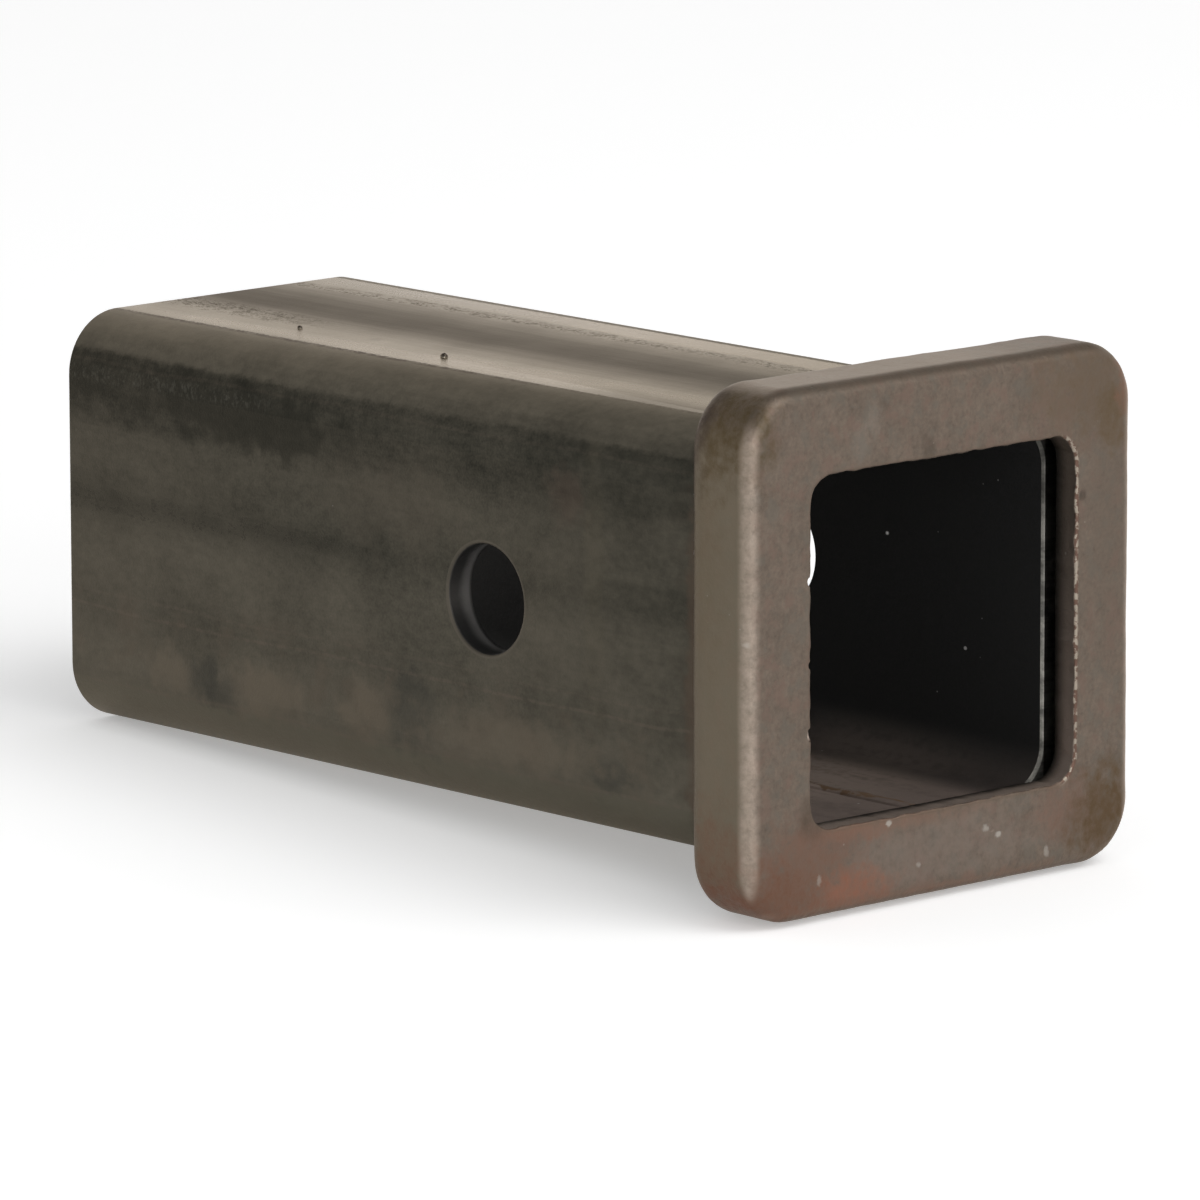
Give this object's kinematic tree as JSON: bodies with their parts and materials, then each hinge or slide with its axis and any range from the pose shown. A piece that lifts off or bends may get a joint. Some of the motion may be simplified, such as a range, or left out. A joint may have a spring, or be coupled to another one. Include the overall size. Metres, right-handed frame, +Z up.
{
  "type": "receiver tube",
  "caption": "Square steel receiver tube with a cross pin hole and a forged reinforcing collar round its open mouth, for a sliding drawbar.",
  "frame": {"origin": "on the collar's axis, half way along the whole part", "axes": "+X along the tube and out of its open mouth, +Z up, the pin hole runs through along Y, with -Y the side toward the picture's camera"},
  "size_m": [0.16, 0.0776, 0.0776],
  "materials": {
    "mill_scale_steel": "bare rolled steel under grey-brown mill scale, satin",
    "forged_scale_steel": "bare forged steel under brown-grey scale, satin",
    "weld_steel": "bare weld metal, grey"
  },
  "bodies": {
    "root": {"receiver_tube": "mill_scale_steel", "collar": "forged_scale_steel", "collar_weld": "weld_steel"}
  },
  "joints": []
}
